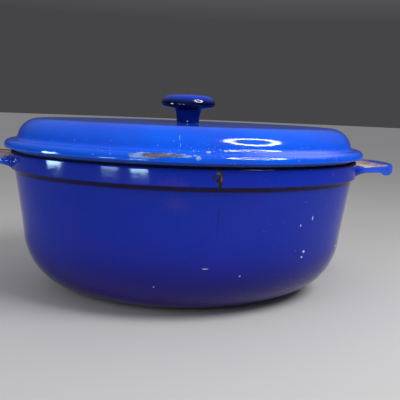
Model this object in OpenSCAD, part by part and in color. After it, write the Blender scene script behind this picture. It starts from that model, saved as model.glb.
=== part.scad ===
// Oval enamelled cast-iron casserole with a lift-off lid, modelled in millimetres.
// +Z is up, the long axis lies along X, and the origin is at the middle of the resting plane.
// Wall profiles are drawn in (d, z): d is the distance outward from the rim band's oval outline.

/* [Oval outline] */
// Half length of the oval rim band
band_half_len = 158; // [150:1:166]
// Half width of the oval rim band
band_half_wid = 128.5; // [124:0.5:134]
// Radius of the two end curves of the band
band_end_r = 108.5; // [100:0.5:112]

/* [Pot] */
// Height of the rim above the table
rim_z = 126; // [120:1:140]
// Height of the thick band below the rim
band_h = 15; // [10:0.5:20]
// How far the band stands proud of the wall
band_step = 3.6; // [3:0.1:5]
// How far the wall leans inward over its height
wall_lean = 6.9; // [3:0.1:10]
// Radius of the turn from wall to base
base_corner_r = 57; // [40:1:60]
// Thickness of the iron wall
wall_t = 3.6; // [3.4:0.1:5]
// Thickness of the iron floor
floor_t = 4.2; // [4:0.1:6]
// Height of the low foot ring under the base
foot_h = 1.2; // [0.8:0.1:2]
// Width of the foot ring
foot_w = 9; // [6:0.5:12]
// Thickness of the light enamel inside the pot and the lid
lining_t = 0.6; // [0.4:0.1:1]

/* [Handles] */
// Reach of each handle beyond the band
handle_reach = 39.5; // [34:0.5:44]
// Half width of a handle where it leaves the band
handle_root_half = 44; // [38:1:48]
// Half width of a handle at its outer edge
handle_tip_half = 29; // [24:1:34]
// Radius of the two outer corners of a handle
handle_corner_r = 17; // [10:1:20]
// Thickness of a handle at its middle
handle_t = 6.5; // [6:0.5:8]
// Thickness of the turned-down outer lip
handle_lip_t = 10; // [9:0.5:12]
// Width of the turned-down outer lip
handle_lip_w = 8; // [6:0.5:10]
// Radius of the hollow where a handle's underside meets the band
handle_cove_r = 4.5; // [3:0.5:5]
// Drop from the rim to the top of a handle at its root
handle_drop = 5; // [3:0.5:8]
// Rise of a handle from its root to its outer edge
handle_rise = 2; // [0:0.5:4]

/* [Lid] */
// Height of the flat top of the lid above the table
lid_top_z = 154.4; // [150:0.2:160]
// How far the lid flange reaches beyond the band
flange_out = 5.2; // [3:0.1:6]
// Gap between the rim and the flange outside the seat
flange_gap = 3.3; // [1:0.1:4]
// Height of the flange ledge above the rim
flange_h = 10; // [9:0.5:12]
// Radius of the flange's rounded outer edge
flange_edge_r = 5; // [3:0.5:6]
// Distance of the lid's side inside the band line
dome_in = 5.8; // [5:0.1:8]
// Radius of the lid's shoulder
shoulder_r = 19; // [14:0.5:20]
// Radius of the hollow blend between the flange and the side
flange_blend_r = 4.4; // [3:0.1:6]
// Thickness of the iron of the lid
lid_t = 3.8; // [3.6:0.1:5]
// Depth of the ring under the lid that centres it in the pot
locator_h = 5; // [3:0.5:7]
// Thickness of that ring
locator_t = 4; // [3:0.5:5]
// Clearance between that ring and the pot's inside at the rim
locator_gap = 1.4; // [0.8:0.1:2]

/* [Knob] */
// Radius of the knob's cap
knob_r = 25; // [20:0.5:30]
// Height of the knob above the lid
knob_h = 26; // [22:0.5:30]
// Height of the cap's widest line above the lid
knob_wide_z = 16.5; // [14:0.5:18]
// Height of the cap's underside at the stem
knob_under_z = 12.5; // [10:0.5:13]
// Radius of the cap's round edge
knob_edge_r = 8.5; // [5:0.5:9]
// Radius of the stem under the cap
stem_top_r = 12.1; // [11:0.1:14]
// Radius of the stem where it meets the lid
stem_foot_r = 10.4; // [9.5:0.1:12]
// Diameter of the knob's screw
screw_d = 6; // [5:0.5:7]
// Diameter of the screw's head
screw_head_d = 13; // [11:0.5:16]
// Diameter of the washer under the screw's head
washer_d = 19; // [16:0.5:22]
// Outside diameter of the brass insert
insert_d = 10; // [9:0.5:11]
// Length of the brass insert
insert_len = 13; // [10:0.5:14]

/* [Hidden] */
$fn = 180;
overlap = 0.01;

// Centres and radii of the four arcs that make the oval.
end_cx = band_half_len - band_end_r;
side_r = (end_cx * end_cx + band_half_wid * band_half_wid - band_end_r * band_end_r)
    / (2 * (band_half_wid - band_end_r));
side_cy = side_r - band_half_wid;
join_a = atan2(side_cy, end_cx);

// Key lines of the pot's wall profile.
step_z = rim_z - band_h;
wall_top_d = -band_step;
wall_foot_d = wall_top_d - wall_lean;
corner_d = wall_foot_d - base_corner_r;
corner_z = base_corner_r;
lean_rate = wall_lean / (step_z - corner_z);
floor_z = foot_h + floor_t;
inner_corner_r = base_corner_r - wall_t;
inner_corner_z = floor_z + inner_corner_r;
inner_foot_d = corner_d + inner_corner_r;
inner_rim_d = wall_top_d - wall_t + lean_rate * band_h;
plate_d = corner_d - foot_w;
band_corner_r = 2;

// Key lines of the lid's profile.
ledge_z = rim_z + flange_h;
shoulder_d = -dome_in - shoulder_r;
shoulder_z = lid_top_z - shoulder_r;
inner_shoulder_r = shoulder_r - lid_t;
lid_under_z = lid_top_z - lid_t;
lid_lap = 6;
lid_plate_d = shoulder_d - lid_lap;
blend_z = ledge_z + flange_blend_r;
blend_d = shoulder_d + sqrt(pow(shoulder_r + flange_blend_r, 2) - pow(blend_z - shoulder_z, 2));
locator_d = inner_rim_d - lining_t - locator_gap;
seat_d = -band_corner_r - 1;
hollow_turn_h = 3;

// Key lines of a handle: its outer corners and the flanks that touch them.
handle_tip_x = band_half_len + handle_reach;
handle_root_x = end_cx + sqrt(pow(band_end_r, 2) - pow(handle_root_half, 2));
handle_corner = [handle_tip_x - handle_corner_r, handle_tip_half - handle_corner_r];
flank_run = [handle_root_x, handle_root_half] - handle_corner;
flank_lap = 0.02;
flank_a = atan2(flank_run.y, flank_run.x) - acos((handle_corner_r - flank_lap) / norm(flank_run));
flank_touch = handle_corner + (handle_corner_r - flank_lap) * [cos(flank_a), sin(flank_a)];
handle_top_z = rim_z - handle_drop;
handle_lip_x = handle_tip_x - handle_lip_w;
handle_round = 2;
web_z = handle_top_z + handle_rise / 2 - handle_t;

// Key lines of the knob, measured above the lid's top.
dome_r = (pow(knob_r - knob_edge_r, 2) + pow(knob_h - knob_wide_z, 2) - pow(knob_edge_r, 2))
    / (2 * (knob_h - knob_wide_z - knob_edge_r));
dome_touch_x = (knob_r - knob_edge_r) * dome_r / (dome_r - knob_edge_r);
screw_hole_r = screw_d / 2 + 0.5;
washer_hole_r = screw_d / 2 + 0.3;
stem_turn = 1.5;
cap_edge_drop = 1.5;
cap_edge_in = 0.4;
washer_t = 1.2;
screw_head_t = 3.6;
screw_slot = [1.4, 1.5];
screw_depth = insert_len - 2;
washer_z = lid_under_z - lining_t - washer_t;

// ---------- building blocks ----------

// Sweeps a (d, z) profile right round the oval.
module oval_sweep() {
    for (side = [0, 1]) {
        rotate([0, 0, 180 * side]) translate([end_cx, 0, 0])
            rotate_extrude(angle = 2 * join_a, start = -join_a)
                translate([band_end_r, 0]) children();
        rotate([0, 0, 180 * side]) translate([0, -side_cy, 0])
            rotate_extrude(angle = 180 - 2 * join_a, start = join_a)
                translate([side_r, 0]) children();
    }
}

// The point of the oval whose outward normal points along angle a, moved outward by d.
function oval_point(a, d) = abs(sin(a)) < sin(join_a)
    ? [sign(cos(a)) * end_cx + (band_end_r + d) * cos(a), (band_end_r + d) * sin(a)]
    : [(side_r + d) * cos(a), -sign(sin(a)) * side_cy + (side_r + d) * sin(a)];

// A flat plate that closes the middle of a swept ring, with its edge hidden inside the ring.
module middle_plate(d, z0, z1) {
    translate([0, 0, z0]) linear_extrude(z1 - z0)
        polygon([for (a = [0:10:350]) oval_point(a, d)]);
}

// A rectangle given by its corners.
module block_2d(d0, z0, d1, z1) {
    translate([d0, z0]) square([d1 - d0, z1 - z0]);
}

// ---------- pot ----------

// Outside of the pot wall: band, leaning wall, round base corner and foot ring.
module pot_outside_2d() {
    polygon([[plate_d, corner_z], [plate_d, step_z + overlap], [wall_top_d, step_z + overlap],
        [wall_top_d, step_z], [wall_foot_d, corner_z]]);
    block_2d(plate_d, step_z, 0, rim_z - band_corner_r);
    block_2d(plate_d, step_z, -band_corner_r, rim_z);
    translate([-band_corner_r, rim_z - band_corner_r]) circle(r = band_corner_r, $fn = 48);
    intersection() {
        translate([corner_d, corner_z]) circle(r = base_corner_r);
        block_2d(corner_d, 0, 0, corner_z);
    }
    block_2d(plate_d, 0, corner_d, corner_z);
}

// Hollow of the pot wall, moved outward by t.
module pot_inside_2d(t = 0) {
    polygon([[plate_d - 1, inner_corner_z], [plate_d - 1, rim_z + 1],
        [inner_rim_d + lean_rate + t, rim_z + 1], [inner_foot_d + t, inner_corner_z]]);
    intersection() {
        translate([corner_d, inner_corner_z]) circle(r = inner_corner_r + t);
        block_2d(corner_d, 0, 0, inner_corner_z);
    }
    block_2d(plate_d - 1, floor_z - t, corner_d, inner_corner_z);
}

module pot_body() {
    color("mediumblue") {
        oval_sweep() difference() {
            pot_outside_2d();
            pot_inside_2d();
        }
        middle_plate(plate_d + foot_w / 2, foot_h, floor_z);
    }
}

module pot_lining() {
    color("ivory") {
        oval_sweep() intersection() {
            difference() {
                pot_inside_2d();
                pot_inside_2d(-lining_t);
            }
            block_2d(plate_d, 0, 0, rim_z);
        }
        middle_plate(plate_d + foot_w / 2, floor_z, floor_z + lining_t);
    }
}

// ---------- handles ----------

// Upright block of one handle's plan: flanks that draw in towards two round outer corners.
module handle_block() {
    edge_x = handle_tip_x - flank_lap;
    for (side = [-1, 1])
        translate([handle_corner.x, side * handle_corner.y]) cylinder(h = rim_z, r = handle_corner_r);
    upper_half = [[end_cx, handle_root_half], [handle_root_x, handle_root_half], flank_touch,
        [edge_x, handle_corner.y]];
    lower_half = [for (i = [3:-1:0]) [upper_half[i].x, -upper_half[i].y]];
    linear_extrude(rim_z) polygon(concat(upper_half, lower_half));
}

// Side view of one handle in (x, z): a rising top, a thin web and a turned-down outer lip.
module handle_side_2d() {
    tip_z = handle_top_z + handle_rise;
    lip_z = tip_z - handle_lip_t;
    polygon([[end_cx, handle_top_z], [handle_root_x, handle_top_z], [handle_tip_x - handle_round, tip_z],
        [handle_tip_x, tip_z - handle_round], [handle_tip_x, lip_z + handle_round],
        [handle_tip_x - handle_round, lip_z], [handle_lip_x + handle_round / 2, lip_z],
        [handle_lip_x - handle_round, web_z], [end_cx, web_z]]);
}

// Hollow blend between a handle's underside and the band, in (d, z).
module handle_cove_2d() {
    difference() {
        block_2d(-1, web_z - handle_cove_r, handle_cove_r, web_z + 1);
        translate([handle_cove_r, web_z - handle_cove_r]) circle(r = handle_cove_r, $fn = 72);
    }
}

// One handle on the +X end, cut off where the band begins.
module handle_solid() {
    difference() {
        intersection() {
            handle_block();
            union() {
                rotate([90, 0, 0]) linear_extrude(3 * handle_root_half, center = true) handle_side_2d();
                translate([end_cx, 0, 0]) rotate_extrude(angle = 2 * join_a, start = -join_a)
                    translate([band_end_r, 0]) handle_cove_2d();
            }
        }
        translate([end_cx, 0, -1]) cylinder(h = rim_z + 2, r = band_end_r);
    }
}

module handle_right() {
    color("mediumblue") handle_solid();
}

module handle_left() {
    color("mediumblue") rotate([0, 0, 180]) handle_solid();
}

// ---------- lid ----------

// Hollow blend between the flange's ledge and the lid's side.
module flange_blend_2d() {
    touch = [shoulder_d, shoulder_z]
        + shoulder_r / (shoulder_r + flange_blend_r) * [blend_d - shoulder_d, blend_z - shoulder_z];
    difference() {
        polygon([[shoulder_d, ledge_z - 1], [blend_d, ledge_z - 1], [blend_d, ledge_z], touch,
            [shoulder_d, shoulder_z]]);
        translate([blend_d, blend_z]) circle(r = flange_blend_r);
    }
    polygon([[shoulder_d, shoulder_z], [blend_d, ledge_z], touch]);
}

// Outside of the lid: flange, upright side, round shoulder and flat top.
module lid_outside_2d() {
    flange_z = rim_z + flange_gap;
    block_2d(lid_plate_d, flange_z, flange_out - flange_edge_r, ledge_z);
    block_2d(lid_plate_d, flange_z, flange_out, ledge_z - flange_edge_r);
    translate([flange_out - flange_edge_r, ledge_z - flange_edge_r]) circle(r = flange_edge_r, $fn = 72);
    block_2d(lid_plate_d, flange_z, -dome_in, shoulder_z);
    intersection() {
        translate([shoulder_d, shoulder_z]) circle(r = shoulder_r);
        block_2d(shoulder_d, shoulder_z, 0, lid_top_z);
    }
    block_2d(lid_plate_d, shoulder_z, shoulder_d, lid_top_z);
    block_2d(lid_plate_d, rim_z, seat_d, flange_z);
    block_2d(lid_plate_d, rim_z - locator_h, locator_d, rim_z);
}

// Hollow under the lid, moved outward by t.
module lid_inside_2d(t = 0) {
    side_d = -dome_in - lid_t + t;
    ring_d = locator_d - locator_t + t;
    polygon([[lid_plate_d - 1, rim_z - locator_h - 1], [ring_d, rim_z - locator_h - 1],
        [ring_d, rim_z + 1], [side_d, rim_z + flange_gap + hollow_turn_h],
        [side_d, shoulder_z], [lid_plate_d - 1, shoulder_z]]);
    intersection() {
        translate([shoulder_d, shoulder_z]) circle(r = inner_shoulder_r + t);
        block_2d(shoulder_d, shoulder_z, 0, lid_top_z);
    }
    block_2d(lid_plate_d - 1, shoulder_z, shoulder_d, lid_under_z + t);
}

// The hole for the knob's screw.
module screw_hole() {
    cylinder(h = lid_top_z + 1, r = screw_hole_r);
}

module lid_shell() {
    color("royalblue") difference() {
        union() {
            oval_sweep() difference() {
                lid_outside_2d();
                lid_inside_2d();
            }
            middle_plate(lid_plate_d + lid_lap / 2, lid_under_z, lid_top_z);
        }
        screw_hole();
    }
}

module lid_lining() {
    color("ivory") difference() {
        union() {
            oval_sweep() intersection() {
                difference() {
                    lid_inside_2d();
                    lid_inside_2d(-lining_t);
                }
                block_2d(lid_plate_d, rim_z - locator_h, 0, lid_top_z);
            }
            middle_plate(lid_plate_d + lid_lap / 2, lid_under_z - lining_t, lid_under_z);
        }
        screw_hole();
    }
}

// ---------- knob and its fastening ----------

// Half section of the knob in (r, z) above the lid's top.
module knob_2d() {
    edge_x = knob_r - knob_edge_r;
    translate([edge_x, knob_wide_z]) intersection() {
        circle(r = knob_edge_r);
        block_2d(0, 0, knob_r, knob_h);
    }
    intersection() {
        translate([0, knob_h - dome_r]) circle(r = dome_r, $fn = 360);
        block_2d(0, knob_wide_z, dome_touch_x, knob_h);
    }
    polygon([[0, 0], [stem_foot_r, 0], [stem_top_r, knob_under_z - stem_turn],
        [stem_top_r + stem_turn, knob_under_z], [knob_r - cap_edge_in, knob_wide_z - cap_edge_drop],
        [knob_r, knob_wide_z], [0, knob_wide_z]]);
}

module knob() {
    color("midnightblue") translate([0, 0, lid_top_z]) difference() {
        rotate_extrude() knob_2d();
        translate([0, 0, -1]) cylinder(h = insert_len + 1, d = insert_d);
    }
}

module knob_insert() {
    color("gold") translate([0, 0, lid_top_z]) difference() {
        cylinder(h = insert_len, d = insert_d);
        translate([0, 0, -1]) cylinder(h = screw_depth + 1, d = screw_d);
    }
}

module knob_screw() {
    color("silver") difference() {
        union() {
            translate([0, 0, washer_z]) cylinder(h = lid_top_z + screw_depth - washer_z, d = screw_d);
            translate([0, 0, washer_z - screw_head_t]) cylinder(h = screw_head_t, d = screw_head_d);
        }
        translate([-screw_head_d, -screw_slot.x / 2, washer_z - screw_head_t - 1])
            cube([2 * screw_head_d, screw_slot.x, screw_slot.y + 1]);
    }
}

module screw_washer() {
    color("gainsboro") translate([0, 0, washer_z]) difference() {
        cylinder(h = washer_t, d = washer_d);
        translate([0, 0, -1]) cylinder(h = washer_t + 2, r = washer_hole_r);
    }
}

pot_body();
handle_left();
handle_right();
pot_lining();
lid_shell();
lid_lining();
knob();
knob_insert();
knob_screw();
screw_washer();
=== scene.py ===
"""Looks of an oval enamelled casserole with a lift-off lid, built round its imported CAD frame."""

import math

import bmesh
import bpy
from bpy.props import FloatProperty, FloatVectorProperty, PointerProperty
from mathutils import Matrix, Vector


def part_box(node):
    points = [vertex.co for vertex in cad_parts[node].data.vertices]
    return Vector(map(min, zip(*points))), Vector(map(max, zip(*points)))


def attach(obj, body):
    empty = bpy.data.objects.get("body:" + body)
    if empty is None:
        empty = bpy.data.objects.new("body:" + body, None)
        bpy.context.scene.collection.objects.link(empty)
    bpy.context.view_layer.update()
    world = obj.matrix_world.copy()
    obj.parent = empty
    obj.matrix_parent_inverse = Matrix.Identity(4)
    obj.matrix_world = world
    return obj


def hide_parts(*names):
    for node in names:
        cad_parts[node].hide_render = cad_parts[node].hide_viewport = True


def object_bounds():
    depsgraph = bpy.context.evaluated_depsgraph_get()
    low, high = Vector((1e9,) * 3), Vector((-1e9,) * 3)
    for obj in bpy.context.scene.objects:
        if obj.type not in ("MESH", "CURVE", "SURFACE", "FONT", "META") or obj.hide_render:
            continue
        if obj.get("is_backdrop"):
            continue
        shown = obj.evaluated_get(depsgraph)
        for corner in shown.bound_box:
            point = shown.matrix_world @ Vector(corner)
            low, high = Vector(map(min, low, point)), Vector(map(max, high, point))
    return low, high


bl_info = {
    "name": "Oval Casserole Looks",
    "version": (1, 0, 0),
    "blender": (4, 5, 0),
    "location": "View3D > Sidebar > Casserole",
    "description": "Builds the castings, linings, knob and fittings of an oval enamelled casserole",
    "category": "Object",
}

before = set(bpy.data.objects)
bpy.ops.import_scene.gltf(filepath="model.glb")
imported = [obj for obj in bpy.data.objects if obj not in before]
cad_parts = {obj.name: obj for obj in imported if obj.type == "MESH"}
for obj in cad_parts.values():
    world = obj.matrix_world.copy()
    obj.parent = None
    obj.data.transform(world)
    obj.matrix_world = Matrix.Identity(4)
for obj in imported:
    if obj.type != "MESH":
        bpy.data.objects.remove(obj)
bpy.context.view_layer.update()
MM = 0.001

POT_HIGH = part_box("pot_body")[1]
LINING_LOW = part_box("pot_lining")[0]
HANDLE_LOW, HANDLE_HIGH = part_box("handle_right")
LID_LOW, LID_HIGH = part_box("lid_shell")
LID_LINING_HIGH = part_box("lid_lining")[1]
KNOB_LOW, KNOB_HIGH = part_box("knob")
INSERT_LOW, INSERT_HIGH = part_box("knob_insert")
SCREW_LOW, SCREW_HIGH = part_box("knob_screw")
WASHER_LOW, WASHER_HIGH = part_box("screw_washer")

HANDLE_TOP = HANDLE_HIGH.z - 2 * MM
HANDLE_BOTTOM = HANDLE_LOW.z + 2.2 * MM
HANDLE_COLUMNS = 5
SCREW_HOLE = 3.5 * MM
SHANK_RADIUS = 3.0 * MM
FLOOR_REACH = 15 * MM
CAP_REACH = 25 * MM
CAP_LOOP_RADIUS = 22 * MM


# ---------- sizes and colours that a user would change ----------


def length(name, description, millimetres):
    """A length property with its default given in millimetres."""
    return FloatProperty(name=name, description=description, default=millimetres * MM,
                         min=0.0, unit="LENGTH", precision=4)


def colour(name, description, value):
    """A colour property."""
    return FloatVectorProperty(name=name, description=description, default=value,
                               size=3, min=0.0, max=1.0, subtype="COLOR")


class CasserolePotSizes(bpy.types.PropertyGroup):
    """Sizes of the pot casting that its box doesn't give."""
    end_radius: length("End radius", "Radius of the two end curves of the rim band", 108.5)
    band_height: length("Band height", "Height of the thick band below the rim", 15.0)
    band_step: length("Band step", "How far the band stands proud of the wall", 3.6)
    wall_lean: length("Wall lean", "How far the wall leans inward over its height", 6.9)
    corner_radius: length("Corner radius", "Radius of the turn from wall to base", 57.0)
    wall: length("Wall", "Thickness of the iron wall", 3.6)
    foot_height: length("Foot height", "Height of the low foot ring", 1.2)
    foot_width: length("Foot width", "Width of the foot ring", 9.0)
    rim_round: length("Rim rounding", "Radius of the band's upper edge", 2.0)
    step_round: length("Step rounding", "Radius of the band's lower edge", 0.7)
    step_cove: length("Step cove", "Radius of the hollow under the band", 0.9)
    lining: length("Lining", "Thickness of the light enamel inside", 0.6)


class CasseroleHandleSizes(bpy.types.PropertyGroup):
    """Sizes of the two cast-on handles that their boxes don't give."""
    tip_half: length("Tip half width", "Half width of a handle at its outer edge", 29.0)
    tip_corner: length("Tip corner", "Radius of a handle's outer corners", 17.0)
    web: length("Web", "Thickness of a handle at its middle", 6.5)
    lip: length("Lip", "Thickness of the turned-down outer lip", 10.0)
    rise: length("Rise", "Rise of a handle from its root to its outer edge", 2.0)
    cove: length("Cove", "Depth of the hollow blend under a handle's root", 2.6)


class CasseroleLidSizes(bpy.types.PropertyGroup):
    """Sizes of the lid casting that its box doesn't give."""
    side_in: length("Side inset", "Distance of the lid's side inside the band line", 5.8)
    shoulder: length("Shoulder", "Radius of the round shoulder", 19.0)
    ledge: length("Ledge", "Height of the flange's ledge above the rim", 10.0)
    blend: length("Blend", "Radius of the hollow blend above the flange", 4.4)
    edge: length("Edge", "Radius of the flange's rounded outer edge", 5.0)
    lower_edge: length("Lower edge", "Radius of the flange's lower edge", 0.7)
    gap: length("Gap", "Gap between the rim and the flange outside the seat", 3.3)
    iron: length("Iron", "Thickness of the lid's iron", 3.8)
    locator_gap: length("Locator gap", "Clearance of the centring ring in the pot", 1.4)
    locator: length("Locator", "Thickness of the centring ring", 4.0)


class CasseroleKnobSizes(bpy.types.PropertyGroup):
    """Sizes of the knob that its box doesn't give."""
    wide: length("Widest line", "Height of the cap's widest line above the lid", 16.5)
    under: length("Underside", "Height of the cap's underside at the stem", 12.5)
    edge: length("Edge", "Radius of the cap's round edge", 8.5)
    stem_top: length("Stem top", "Radius of the stem under the cap", 12.1)
    stem_foot: length("Stem foot", "Radius of the stem at the lid", 10.4)
    stem_cove: length("Stem cove", "Radius of the hollow under the cap", 2.2)
    pitch: length("Thread pitch", "Pitch of the knob screw's thread", 1.0)


class CasseroleColours(bpy.types.PropertyGroup):
    """Colours of the enamels and of what shows where they are chipped."""
    cobalt: colour("Cobalt", "Enamel of the pot", (0.001, 0.023, 0.40))
    # Painted light: the lid's colour is the pot's enamel painted brighter and greener for the stronger light
    # the lid gets.
    lid_lit_cobalt: colour("Lid cobalt", "Enamel of the lid", (0.001, 0.108, 0.84))
    violet: colour("Violet", "Tint of the enamel where it is thin", (0.024, 0.016, 0.42))
    # Painted shade and painted reflection: the dark violet that the pot's enamel turns to near the base.
    base_shade_and_reflection: colour("Scorched", "Enamel darkened by heat near the base", (0.016, 0.001, 0.115))
    cream: colour("Cream", "Enamel inside the pot and the lid", (0.80, 0.73, 0.58))
    stain: colour("Stain", "Cooking stain on the light enamel", (0.42, 0.27, 0.13))
    break_edge: colour("Broken edge", "Pale ground coat at the edge of a chip", (0.20, 0.33, 0.68))
    bare_iron: colour("Bare iron", "Brown iron at the heart of a chip", (0.10, 0.05, 0.032))
    ground_coat: colour("Ground coat", "Dark coat on the rim and foot", (0.012, 0.013, 0.022))
    resin: colour("Resin", "Knob's dark resin", (0.001, 0.013, 0.18))
    brass: colour("Brass", "Threaded insert", (0.72, 0.50, 0.20))
    steel: colour("Steel", "Screw and washer", (0.55, 0.55, 0.54))
    worn: colour("Worn", "Beige of the handles where the enamel is rubbed away", (0.36, 0.25, 0.22))
    floor: colour("Floor", "Pale studio floor", (0.58, 0.57, 0.56))


# ---------- the oval and its profiles ----------


class Oval:
    """A four-centre oval: two end arcs and two side arcs that run smoothly into each other."""

    END_STEPS = 20
    SIDE_STEPS = 32

    def __init__(self, half_length, half_width, end_radius):
        self.end_r = end_radius
        self.end_x = half_length - end_radius
        self.side_r = (self.end_x ** 2 + half_width ** 2 - end_radius ** 2) / (2 * (half_width - end_radius))
        self.side_y = self.side_r - half_width
        self.join = math.atan2(self.side_y, self.end_x)

    def arcs(self):
        """Centre, turn and number of steps of the four arcs, anticlockwise from the right end."""
        end_turn = 2 * self.join
        side_turn = math.pi - end_turn
        return [
            ((self.end_x, 0, 0), end_turn, self.END_STEPS),
            ((0, -self.side_y, 0), side_turn, self.SIDE_STEPS),
            ((-self.end_x, 0, 0), end_turn, self.END_STEPS),
            ((0, self.side_y, 0), side_turn, self.SIDE_STEPS),
        ]

    def sweep(self, bm, profile):
        """Spins a chain of (d, z) points right round the oval; d is the distance outward from its line."""
        heading = Vector((math.cos(self.join), -math.sin(self.join), 0))
        verts = [bm.verts.new(heading * (self.end_r + d) + Vector((self.end_x, 0, z))) for d, z in profile]
        geom = verts + [bm.edges.new(pair) for pair in zip(verts, verts[1:])]
        for centre, turn, steps in self.arcs():
            spun = bmesh.ops.spin(bm, geom=geom, cent=centre, axis=(0, 0, 1), dvec=(0, 0, 0), angle=turn,
                                  steps=steps, use_merge=False, use_normal_flip=False, use_duplicate=False)
            geom = spun["geom_last"]
        bmesh.ops.remove_doubles(bm, verts=bm.verts, dist=0.01 * MM)


def arc(centre, radius, start, end, steps):
    """Points on an arc of a profile, both ends included; angles in degrees, anticlockwise from +d."""
    turns = [math.radians(start + (end - start) * i / steps) for i in range(steps + 1)]
    return [(centre[0] + radius * math.cos(a), centre[1] + radius * math.sin(a)) for a in turns]


def turned(bm, profile, steps=96):
    """Spins a chain of (r, z) points once round the Z axis."""
    verts = [bm.verts.new((r, 0, z)) for r, z in profile]
    edges = [bm.edges.new(pair) for pair in zip(verts, verts[1:])]
    bmesh.ops.spin(bm, geom=verts + edges, cent=(0, 0, 0), axis=(0, 0, 1), dvec=(0, 0, 0),
                   angle=math.tau, steps=steps, use_merge=True, use_normal_flip=False, use_duplicate=False)
    bmesh.ops.remove_doubles(bm, verts=bm.verts, dist=0.001 * MM)


def fill_open_loops(bm):
    """Closes each open flat loop with one face."""
    rim = [edge for edge in bm.edges if edge.is_boundary]
    bmesh.ops.holes_fill(bm, edges=rim, sides=0)


def finish_piece(bm, name, body, materials, replaced, levels=0):
    """Turns a bmesh into a finished piece that rides on a body and stands for CAD nodes."""
    bmesh.ops.recalc_face_normals(bm, faces=bm.faces)
    mesh = bpy.data.meshes.new(name)
    bm.to_mesh(mesh)
    bm.free()
    mesh.shade_smooth()
    for material in materials:
        mesh.materials.append(material)
    piece = bpy.data.objects.new(name, mesh)
    bpy.context.scene.collection.objects.link(piece)
    if levels:
        smooth = piece.modifiers.new("Smooth", "SUBSURF")
        smooth.levels = levels
        smooth.render_levels = levels
    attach(piece, body)
    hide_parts(*replaced)
    return piece


# ---------- castings ----------


def main_oval(scene):
    """The oval line of the rim band."""
    return Oval(POT_HIGH.x, POT_HIGH.y, scene.casserole_pot.end_radius)


def wall_depth(sizes, z):
    """Distance (negative, inward) of the leaning outer wall from the band line at height z."""
    top = POT_HIGH.z - sizes.band_height
    lean_rate = sizes.wall_lean / (top - sizes.corner_radius)
    return -sizes.band_step - lean_rate * (top - z)


def inner_profile(sizes, inset, top):
    """Inside of the pot from its flat floor up to the rim, moved inward by inset."""
    radius = sizes.corner_radius - sizes.wall - inset
    floor = LINING_LOW.z + inset
    foot_z = floor + radius
    foot_d = wall_depth(sizes, sizes.corner_radius) - sizes.wall - inset
    rim_d = wall_depth(sizes, POT_HIGH.z) - sizes.wall - inset
    centre = (foot_d - radius, foot_z)
    return [(centre[0] - FLOOR_REACH, floor)] + arc(centre, radius, -90, 0, 8) + [
        (foot_d + (rim_d - foot_d) * share, foot_z + (top - foot_z) * share) for share in (0.35, 0.7, 1.0)]


def pot_profile(sizes):
    """Closed side of the pot casting from the middle of the base, up the outside and down inside."""
    step_z = POT_HIGH.z - sizes.band_height
    foot_d = wall_depth(sizes, sizes.corner_radius)
    corner = (foot_d - sizes.corner_radius, sizes.corner_radius)
    ring_d = corner[0] - sizes.foot_width
    top_d = wall_depth(sizes, step_z)
    rim = POT_HIGH.z
    outside = [(ring_d - 6 * MM, sizes.foot_height), (ring_d - 0.5 * MM, sizes.foot_height),
               (ring_d, 0.6 * MM), (ring_d + 0.6 * MM, 0), (corner[0] - 2 * MM, 0)]
    outside += arc(corner, sizes.corner_radius, -90, 0, 12)
    outside += [(wall_depth(sizes, z), z) for z in (75 * MM, 93 * MM)]
    outside += arc((top_d + sizes.step_cove, step_z - sizes.step_cove), sizes.step_cove, 180, 90, 3)
    outside += arc((-sizes.step_round, step_z + sizes.step_round), sizes.step_round, -90, 0, 3)
    outside += [(0, HANDLE_BOTTOM), (0, HANDLE_TOP)]
    outside += arc((-sizes.rim_round, rim - sizes.rim_round), sizes.rim_round, 0, 90, 3)
    inside = inner_profile(sizes, 0, rim - 0.6 * MM)
    return outside + [(inside[-1][0] + 0.7 * MM, rim)] + inside[::-1]


class HandleShape:
    """Where the points of one handle go, from its root on the band to its outer edge."""

    def __init__(self, oval, sizes):
        self.oval = oval
        self.sizes = sizes
        self.half_turn = HANDLE_COLUMNS * 2 * oval.join / Oval.END_STEPS
        self.corner = Vector((HANDLE_HIGH.x - sizes.tip_corner, sizes.tip_half - sizes.tip_corner))
        run = self.on_band(1.0) - self.corner
        self.flank_turn = math.atan2(run.y, run.x) - math.acos(sizes.tip_corner / run.length)

    def on_band(self, share):
        """Plan point on the band, share -1 to 1 across the handle's root."""
        turn = share * self.half_turn
        return Vector((self.oval.end_x + self.oval.end_r * math.cos(turn), self.oval.end_r * math.sin(turn)))

    def on_edge(self, share):
        """Plan point on the outer edge: straight in the middle, then round each corner."""
        straight = 0.35
        side = math.copysign(1.0, share)
        turn = max(0.0, abs(share) - straight) / (1 - straight) * self.flank_turn
        along = min(1.0, abs(share) / straight) * self.corner.y
        reach = self.sizes.tip_corner
        return Vector((self.corner.x + reach * math.cos(turn), side * (along + reach * math.sin(turn))))

    def stations(self):
        """How far out each ring of points lies, with the heights of its top and its underside."""
        top = HANDLE_TOP
        rise = self.sizes.rise
        web = top + rise / 2 - self.sizes.web
        lip = top + rise - self.sizes.lip
        return [
            (0.05, top + 0.3 * MM, web - self.sizes.cove * 0.9),
            (0.14, top + 0.2 * rise, web - self.sizes.cove * 0.4),
            (0.28, top + 0.3 * rise, web),
            (0.50, top + 0.5 * rise, web + 0.3 * MM),
            (0.72, top + 0.8 * rise, web + 0.3 * MM),
            (0.79, top + 0.9 * rise, web - 0.6 * MM),
            (0.84, top + rise, lip + 0.2 * MM),
            (0.95, top + rise, lip),
            (1.00, top + rise - 1.4 * MM, lip + 1.4 * MM),
        ]

    def place(self, share, out, z):
        """A point of the handle: share across it, out from 0 at the band to 1 at the outer edge."""
        crowded = share + (math.sin(math.pi * share / 2) - share) * min(1.0, out / 0.35)
        root = self.on_band(crowded)
        spot = root + (self.on_edge(crowded) - root) * out
        return Vector((spot.x, spot.y, z))


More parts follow.
